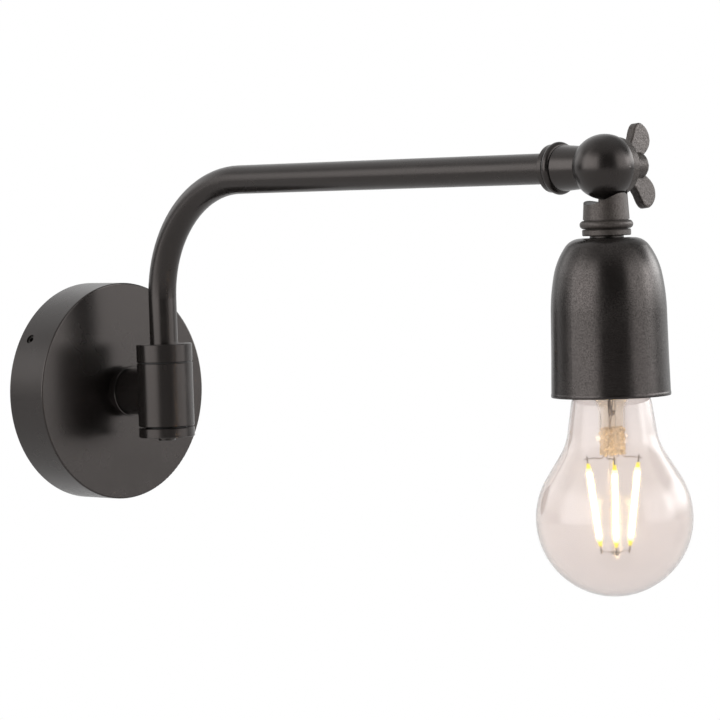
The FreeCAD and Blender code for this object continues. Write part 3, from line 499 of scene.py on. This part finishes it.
def glass_outline(inset):
    """The bulb's glass from its neck to its crown, in mm below the ball, moved inwards by inset."""
    low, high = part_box("bulb_glass")
    full_radius = (high.x - low.x) / 2 / MM
    crown = (KNUCKLE.z - low.z) / MM
    mouth = (KNUCKLE.z - high.z) / MM
    radius = full_radius - inset
    centre = crown - full_radius
    cone = math.radians(CONE_ANGLE)
    neck = math.radians(NECK_TAPER)
    tangent = (radius * math.cos(cone), centre - radius * math.sin(cone))
    neck_depth = mouth + NECK_DEPTH
    neck_here = NECK_RADIUS - inset / math.cos(neck)
    run = tangent[0] - neck_here + math.tan(neck) * neck_depth - math.tan(cone) * tangent[1]
    corner_depth = run / (math.tan(neck) - math.tan(cone))
    corner_radius = neck_here + math.tan(neck) * (corner_depth - neck_depth)
    curve = THROAT_RADIUS + inset
    reach = curve * math.tan((cone - neck) / 2)
    start = (corner_radius - reach * math.sin(neck), corner_depth - reach * math.cos(neck))
    hollow = (start[0] + curve * math.cos(neck), start[1] - curve * math.sin(neck))
    throat = points_on_arc(hollow, curve, 180 - NECK_TAPER, 180 - CONE_ANGLE, 10)
    shoulder = [(across - inset, mouth + depth) for across, depth in SHOULDER]
    globe = points_on_arc((0, centre), radius, -CONE_ANGLE, 90, 40)
    return shoulder + throat + globe


class LAMP_OT_bulb_glass(bpy.types.Operator):
    """Blows the clear pear-shaped glass with its even wall"""
    bl_idname = "lamp.bulb_glass"
    bl_label = "Bulb glass"

    def execute(self, context):
        wall = context.scene.lamp_sizes.glass_wall / MM
        outline = glass_outline(0.0) + list(reversed(glass_outline(wall)))
        bm = moved(spun(hung(outline), steps=160), Matrix.Translation(KNUCKLE))
        piece("bulb_envelope", bm, "clear_glass", "lamp_head", ["bulb_glass"],
              sharp=60)
        return {"FINISHED"}


# The bulb's stem, in mm.  Depths are below the ball's centre.
PINCH_TOP = 99.3
PINCH_END = 109.6
PINCH_HALF_WIDTH = 6.0
PINCH_THICKNESS = 3.4
PINCH_WAIST = 0.10                     # how much narrower it is at half height, as a share
PINCH_CUTS = 31                        # of each edge, so that the faces can crumple
CRUMPLE_HEIGHT = 0.8                   # of the pinch's pressed faces
CRUMPLE_WAVES = 5                      # added up, each finer and lower than the last
CRUMPLE_SEED = 7
FLARE = ((12.2, 86.2), (9.2, 87.0), (7.2, 88.2), (5.8, 90.0), (5.05, 92.5), (5.0, 95.0),
         (5.0, PINCH_TOP))             # radius and depth of the tube's outside
FLARE_INSIDE = ((6.6, 87.6), (9.0, 86.2), (12.2, 85.5))
TUBE_WALL = 0.8
EXHAUST_TOP = 86.5
EXHAUST_RADIUS = 1.5
EXHAUST_BEAD = 0.25                    # its sealed end is wider by this
EXHAUST_TIP = 1.2                      # kept free for the bead, at the end of the solid


def exhaust_end():
    """Depth below the ball where the exhaust tube ends in its bead, mm."""
    return (KNUCKLE.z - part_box("bulb_stem")[0].z) / MM - EXHAUST_TIP


class LAMP_OT_bulb_stem(bpy.types.Operator):
    """Forms the glass stem: flared tube, crumpled pinch, and the exhaust tube with its bead"""
    bl_idname = "lamp.bulb_stem"
    bl_label = "Bulb stem"

    def execute(self, context):
        rod_end = exhaust_end()
        inner = [(radius - TUBE_WALL, depth) for radius, depth in reversed(FLARE[3:])]
        bm = spun(hung([*FLARE, *inner, *FLARE_INSIDE]), steps=64)
        tip = [(0, EXHAUST_TOP), (EXHAUST_RADIUS, EXHAUST_TOP), (EXHAUST_RADIUS, rod_end)]
        tip += points_on_arc((0, rod_end), EXHAUST_RADIUS + EXHAUST_BEAD, 0, 90, 6)
        joined(bm, spun(hung(tip), steps=32, closed=False))
        moved(bm, Matrix.Translation(KNUCKLE))
        piece("bulb_stem_tube", bm, "stem_glass", "lamp_head", ["bulb_stem"],
              sharp=50)

        seal = bmesh.new()
        bmesh.ops.create_cube(seal, size=1)
        size = Matrix.Diagonal((
            2 * PINCH_HALF_WIDTH * MM, PINCH_THICKNESS * MM, (PINCH_END - PINCH_TOP) * MM, 1))
        middle = below(0, 0, (PINCH_TOP + PINCH_END) / 2)
        moved(seal, Matrix.Translation(middle) @ size)
        bmesh.ops.subdivide_edges(seal, edges=seal.edges, cuts=PINCH_CUTS, use_grid_fill=True)
        rng = random.Random(CRUMPLE_SEED)
        phases = [[rng.uniform(0, math.tau) for _ in range(3)] for _ in range(CRUMPLE_WAVES)]
        for vert in seal.verts:
            place = (vert.co - middle) / MM
            share = place.z / ((PINCH_END - PINCH_TOP) / 2)
            waist = 1 - PINCH_WAIST * (1 - share * share)
            crumple = Vector()
            for count, phase in enumerate(phases, 2):
                for k in range(3):
                    wave = math.sin(place[(k + 1) % 3] * count * 1.1 + phase[k]) * math.cos(
                        place[(k + 2) % 3] * count * 0.9 + phase[(k + 1) % 3])
                    crumple[k] += wave / count
            waisted = Vector((place.x * waist, place.y, place.z))
            vert.co = middle + waisted * MM + crumple * CRUMPLE_HEIGHT * MM
        bmesh.ops.smooth_vert(seal, verts=seal.verts, factor=0.5, use_axis_x=True, use_axis_y=True,
                              use_axis_z=True)
        piece("bulb_pinch", seal, "pinch_glass", "lamp_head", [], sharp=30)
        return {"FINISHED"}


# The filaments, in mm.  Depths are below the ball's centre.
FILAMENT_TOP = 112.9
FILAMENT_BOTTOM = 144.6
FILAMENT_TOP_RING = 9.6                # radius of the ring that the upper ends stand on
FILAMENT_BOTTOM_RING = 5.6
DIM_LENGTH = 1.9                       # of the unlit end
WARM_LENGTH = 1.5                      # of the half-lit stretch behind it
UNLIT_WIDTH = 0.62                     # at the very end, as a share of the full width
HALF_LIT_WIDTH = 0.86


def filament_ends(sizes, index):
    """Upper and lower end of one filament, in metres."""
    angle = sizes.filament_turn + math.tau * index / sizes.filament_count
    away = Vector((math.cos(angle), math.sin(angle), 0))
    top = KNUCKLE + away * FILAMENT_TOP_RING * MM - Vector((0, 0, FILAMENT_TOP * MM))
    bottom = KNUCKLE + away * FILAMENT_BOTTOM_RING * MM - Vector((0, 0, FILAMENT_BOTTOM * MM))
    return top, bottom


def tapered_rod(start, end, first_radius, last_radius):
    """A rod between two places, first_radius wide at the start, where it is rounded, and
    last_radius at the end."""
    length = (end - start).length
    outline = [(0, 0), (0.7 * first_radius, 0), (first_radius, 0.3 * first_radius),
               (last_radius, length), (0, length)]
    bm = spun(outline, steps=24, closed=False)
    turn = (end - start).to_track_quat("Z", "Y").to_matrix().to_4x4()
    return moved(bm, Matrix.Translation(start) @ turn)


class LAMP_OT_filaments(bpy.types.Operator):
    """Sets the four glowing filaments, with their half-lit and unlit ends"""
    bl_idname = "lamp.filaments"
    bl_label = "Filaments"

    def execute(self, context):
        sizes = context.scene.lamp_sizes
        full = sizes.filament_radius
        glowing = bmesh.new()
        warm = bmesh.new()
        dim = bmesh.new()
        for index in range(sizes.filament_count):
            top, bottom = filament_ends(sizes, index)
            along = (bottom - top).normalized()
            lit = along * (DIM_LENGTH + WARM_LENGTH) * MM
            joined(glowing, tapered_rod(top + lit, bottom - lit, full, full))
            for start, inward in ((top, along), (bottom, -along)):
                first = start + inward * DIM_LENGTH * MM
                last = first + inward * WARM_LENGTH * MM
                joined(dim, tapered_rod(start, first, UNLIT_WIDTH * full, HALF_LIT_WIDTH * full))
                joined(warm, tapered_rod(first, last, HALF_LIT_WIDTH * full, full))
        piece("filament_rods", glowing, "filament_glow", "lamp_head",
              ["bulb_filaments"])
        piece("filament_half_lit", warm, "filament_warm", "lamp_head", [])
        piece("filament_unlit_ends", dim, "filament_end", "lamp_head", [])
        return {"FINISHED"}


# The wires, in mm.
STRIP_LENGTH = 2.9                     # metal strip beyond each end of a filament
STRIP_RADIUS = 0.27
FEED_WIRE = ((0.6, 1.0, 88.0), (1.4, 1.2, 94.0), (2.6, 1.4, 97.0), (3.2, 1.2, 102.0),
             (3.9, 0.4, 107.0))        # across, back and depth on the right, inside the stem


class LAMP_OT_lead_wires(bpy.types.Operator):
    """Bends the lead wires, the strips at the filaments' ends and the bridges below"""
    bl_idname = "lamp.lead_wires"
    bl_label = "Lead wires"

    def execute(self, context):
        sizes = context.scene.lamp_sizes
        bm = bmesh.new()
        hub = below(0, 0, exhaust_end() + 0.3)
        for index in range(sizes.filament_count):
            top, bottom = filament_ends(sizes, index)
            along = (bottom - top).normalized()
            away = Vector((top.x - KNUCKLE.x, top.y - KNUCKLE.y, 0)).normalized()
            strip_top = top - along * STRIP_LENGTH * MM
            strip_bottom = bottom + along * STRIP_LENGTH * MM
            for start, end in ((strip_top, top + along * MM), (bottom - along * MM, strip_bottom)):
                wire(bm, [start, (start + end) / 2, end], STRIP_RADIUS * MM)
            side = 1 if away.x > 0 else -1
            root = below(side * 4.2, away.y * 0.9, PINCH_END - 1.6)
            weld = top - along * 1.7 * MM
            points = [
                root,
                root + Vector((side * 0.1, 0, -2.2)) * MM,
                root + Vector((side * 0.7 + away.x * 0.8, away.y * 1.6, -3.1)) * MM,
                root.lerp(weld, 0.55) + Vector((0, 0, -0.9)) * MM,
                weld,
                weld + away * 1.4 * MM,
            ]
            wire(bm, points, sizes.wire_radius)
            heel = bottom + along * 1.6 * MM
            sag = heel.lerp(hub, 0.5) + Vector((0, 0, -0.3)) * MM
            wire(bm, [heel + away * 0.7 * MM, heel, sag, hub], 0.6 * sizes.wire_radius)
        for side in (-1, 1):
            points = [below(side * across, side * back, depth) for across, back, depth in FEED_WIRE]
            wire(bm, points, sizes.wire_radius)
        piece("filament_wires", bm, "nickel_wire", "lamp_head", ["bulb_wires"],
              sharp=50)
        return {"FINISHED"}


CAST_VOXEL = 0.2 * MM                  # the casting is rebuilt on a grid of this size
CAST_SMOOTHING = 6                     # rounds that soften its edges
SAND_SIZE = 0.9 * MM
SAND_LEVEL = 0.75                      # high, so that most of the grain goes inwards


class LAMP_OT_wing_nut(bpy.types.Operator):
    """Gives the wing nut the soft edges and grain of a sand casting"""
    bl_idname = "lamp.wing_nut"
    bl_label = "Wing nut"

    def execute(self, context):
        turned = frame["nodes"]["wing_nut"]
        bm = bmesh.new()
        bm.from_mesh(turned.data)
        moved(bm, turned.matrix_world)
        nut = piece("wing_nut_cast", bm, "bronze_cast", "wing_nut", ["wing_nut"])
        remesh = nut.modifiers.new("cast", "REMESH")
        remesh.mode = "VOXEL"
        remesh.voxel_size = CAST_VOXEL
        remesh.use_smooth_shade = True
        smooth = nut.modifiers.new("soft", "SMOOTH")
        smooth.factor = 0.5
        smooth.iterations = CAST_SMOOTHING
        sand = bpy.data.textures.new("sand", "CLOUDS")
        sand.noise_scale = SAND_SIZE
        sand.noise_depth = 2
        lumps = nut.modifiers.new("sand", "DISPLACE")
        lumps.texture = sand
        lumps.texture_coords = "LOCAL"
        lumps.strength = context.scene.lamp_sizes.cast_grain
        lumps.mid_level = SAND_LEVEL
        apply_modifiers(nut)
        return {"FINISHED"}


ARM_MIDDLE = Vector((0, -0.150, 0))    # the aiming point is given from here


def direction(azimuth, elevation):
    """Unit vector from the lamp towards a viewer at this azimuth and elevation."""
    flat = math.cos(elevation)
    return Vector((math.sin(azimuth) * flat, -math.cos(azimuth) * flat, math.sin(elevation)))


def make_camera(studio):
    """Camera at the angle of the photograph; its place follows from the aiming point."""
    back = direction(studio.azimuth, studio.elevation)
    level_right = back.cross(Vector((0, 0, 1))).normalized() * -1
    level_up = level_right.cross(-back)
    right = level_right * math.cos(studio.roll) + level_up * math.sin(studio.roll)
    up = level_up * math.cos(studio.roll) - level_right * math.sin(studio.roll)
    aim = ARM_MIDDLE + right * studio.aim_right + up * studio.aim_up
    data = bpy.data.cameras.new("camera")
    data.sensor_width = SENSOR
    data.lens = studio.focal_pixels / IMAGE_SIDE * SENSOR
    data.clip_start = 0.05
    data.clip_end = 60
    camera = bpy.data.objects.new("camera", data)
    bpy.context.scene.collection.objects.link(camera)
    matrix = Matrix((right, up, back)).transposed().to_4x4()
    matrix.translation = aim + back * studio.distance
    camera.matrix_world = matrix
    bpy.context.scene.camera = camera


# Each light: its turn from the camera and its inner and outer half-widths in degrees, the heights
# where it sets in, is full, begins to fade and ends, as sines of elevation, and its brightness.
LOBES = (
    (-58, (18, 40), (-0.25, 0.05, 0.38, 0.85), 3.3),    # large soft lamp on the left
    (-112, (14, 30), (0.0, 0.25, 0.35, 0.6), 1.0),      # its weaker side, above the horizon
    (67, (17, 34), (-0.25, 0.05, 0.38, 0.85), 2.6),     # large soft lamp on the right
    (110, (16, 38), (-0.05, 0.2, 0.3, 0.5), 4.2),       # a stronger one, further round and above it
    (180, (50, 82), (-0.3, -0.2, 0.38, 0.85), 0.75),    # pale surroundings behind the lamp
    (-130, (40, 72), (0.2, 0.6, 0.75, 1.0), 0.5),       # pale ceiling behind it on the left
)


OVERHEAD_HEIGHT = (0.55, 0.95)         # where the light overhead begins and is full, as sines
OVERHEAD_LIGHT = (0.05, 0.6)           # its brightness below and above those


def make_world(studio):
    """White surroundings that the lamp is seen against.  It is lit by two large soft lamps left
    and right, with pale surroundings behind and overhead and a dim studio on the viewer's side."""
    world = bpy.data.worlds.new("studio")
    bpy.context.scene.world = world
    world.use_nodes = True
    tree = world.node_tree
    tree.nodes.clear()
    ray = add(tree, "ShaderNodeTexCoord").outputs["Generated"]
    flat = add(tree, "ShaderNodeVectorMath", {0: ray, 1: (1, 1, 0)},
               operation="MULTIPLY").outputs[0]
    around = add(tree, "ShaderNodeVectorMath", {0: flat}, operation="NORMALIZE").outputs[0]
    height = add(tree, "ShaderNodeSeparateXYZ", {"Vector": ray}).outputs["Z"]
    overhead = add(tree, "ShaderNodeMapRange", {
        "Value": height, "From Min": OVERHEAD_HEIGHT[0], "From Max": OVERHEAD_HEIGHT[1],
        "To Min": OVERHEAD_LIGHT[0], "To Max": OVERHEAD_LIGHT[1]},
        interpolation_type="SMOOTHSTEP").outputs[0]
    total = overhead
    for turn, (inner, outer), (foot, full, fade, top), brightness in LOBES:
        towards = direction(studio.azimuth + math.radians(turn), 0)
        facing = add(tree, "ShaderNodeVectorMath", {0: around, 1: towards}, operation="DOT_PRODUCT")
        share = add(tree, "ShaderNodeMapRange", {
            "Value": facing.outputs["Value"], "From Min": math.cos(math.radians(outer)),
            "From Max": math.cos(math.radians(inner)), "To Min": 0.0, "To Max": brightness},
            interpolation_type="SMOOTHSTEP").outputs[0]
        below_top = add(tree, "ShaderNodeMapRange", {
            "Value": height, "From Min": fade, "From Max": top, "To Min": 1.0, "To Max": 0.0},
            interpolation_type="SMOOTHSTEP").outputs[0]
        level = add(tree, "ShaderNodeMapRange", {
            "Value": height, "From Min": foot, "From Max": full,
            "To Min": 0.0, "To Max": below_top},
            interpolation_type="SMOOTHSTEP").outputs[0]
        total = add(tree, "ShaderNodeMath", {0: share, 1: level, 2: total},
                    operation="MULTIPLY_ADD").outputs[0]
    studio_light = add(tree, "ShaderNodeBackground", {
        "Color": (1, 1, 1), "Strength": total}).outputs[0]
    white = add(tree, "ShaderNodeBackground", {"Color": (1, 1, 1), "Strength": 1.0}).outputs[0]
    path = add(tree, "ShaderNodeLightPath")
    seen = add(tree, "ShaderNodeMath", {
        0: path.outputs["Is Camera Ray"], 1: path.outputs["Is Transmission Ray"]},
        operation="MAXIMUM").outputs[0]
    mix = add(tree, "ShaderNodeMixShader", {0: seen, 1: studio_light, 2: white}).outputs[0]
    add(tree, "ShaderNodeOutputWorld", {"Surface": mix})


FLOOR_HEIGHT = -1.5
FLOOR_HALF_SIDE = 14.0
FLOOR_FADE = (2.0, 4.0)                # from the lamp, where the floor begins to fade and is gone


def make_floor():
    """Pale floor at the height of a real one, which fades into the white surroundings."""
    bm = bmesh.new()
    bmesh.ops.create_grid(bm, x_segments=2, y_segments=2, size=FLOOR_HALF_SIDE)
    moved(bm, Matrix.Translation((0, 0, FLOOR_HEIGHT)))
    mesh = bpy.data.meshes.new("floor")
    bm.to_mesh(mesh)
    bm.free()
    floor = bpy.data.objects.new("floor", mesh)
    bpy.context.scene.collection.objects.link(floor)
    material, tree, shader, place = new_material("pale_floor")
    connect(tree, shader, {
        "Base Color": linear("#e4e4e4"), "Roughness": 0.9, "Specular IOR Level": 0.1})
    white = add(tree, "ShaderNodeEmission", {"Color": (1, 1, 1), "Strength": 1.0}).outputs[0]
    path = add(tree, "ShaderNodeLightPath")
    seen = add(tree, "ShaderNodeMath", {
        0: path.outputs["Is Camera Ray"], 1: path.outputs["Is Transmission Ray"]},
        operation="MAXIMUM").outputs[0]
    away = add(tree, "ShaderNodeVectorMath", {0: place}, operation="LENGTH").outputs["Value"]
    far = add(tree, "ShaderNodeMapRange", {
        "Value": away, "From Min": FLOOR_FADE[0], "From Max": FLOOR_FADE[1]}).outputs[0]
    share = add(tree, "ShaderNodeMath", {0: seen, 1: far}, operation="MULTIPLY").outputs[0]
    mix = add(tree, "ShaderNodeMixShader", {0: share, 1: shader.outputs[0], 2: white}).outputs[0]
    connect(tree, tree.nodes["Material Output"], {"Surface": mix})
    mesh.materials.append(material)


class LAMP_OT_stage(bpy.types.Operator):
    """Sets up the pale floor, the soft light, white surroundings and the camera"""
    bl_idname = "lamp.stage"
    bl_label = "Stage"

    def execute(self, context):
        studio = context.scene.lamp_studio
        make_camera(studio)
        make_world(studio)
        make_floor()
        context.scene.view_settings.view_transform = "Standard"
        return {"FINISHED"}


class LAMP_PT_panel(bpy.types.Panel):
    """Lists the lamp's settings and its pieces"""
    bl_idname = "LAMP_PT_panel"
    bl_label = "Wall lamp"
    bl_space_type = "VIEW_3D"
    bl_region_type = "UI"
    bl_category = "Wall Lamp"

    def draw(self, context):
        layout = self.layout
        for setting, group in GROUPS.items():
            for name in group.__annotations__:
                layout.prop(getattr(context.scene, setting), name)
        for operator in OPERATORS:
            layout.operator(operator.bl_idname)


OPERATORS = (
    LAMP_OT_coated_metal,
    LAMP_OT_inner_fittings,
    LAMP_OT_bulb_glass,
    LAMP_OT_bulb_stem,
    LAMP_OT_filaments,
    LAMP_OT_lead_wires,
    LAMP_OT_wing_nut,
    LAMP_OT_stage,
)
GROUPS = {"lamp_sizes": LampSizes, "lamp_colours": LampColours, "lamp_studio": StudioSettings}
CLASSES = (*GROUPS.values(), *OPERATORS, LAMP_PT_panel)


def register():
    for cls in CLASSES:
        bpy.utils.register_class(cls)
    for name, group in GROUPS.items():
        setattr(bpy.types.Scene, name, PointerProperty(type=group))


def unregister():
    for name in GROUPS:
        delattr(bpy.types.Scene, name)
    for cls in reversed(CLASSES):
        bpy.utils.unregister_class(cls)


def main():
    register()
    for operator in OPERATORS:
        space, name = operator.bl_idname.split(".")
        getattr(getattr(bpy.ops, space), name)()


if __name__ == "__main__":
    main()
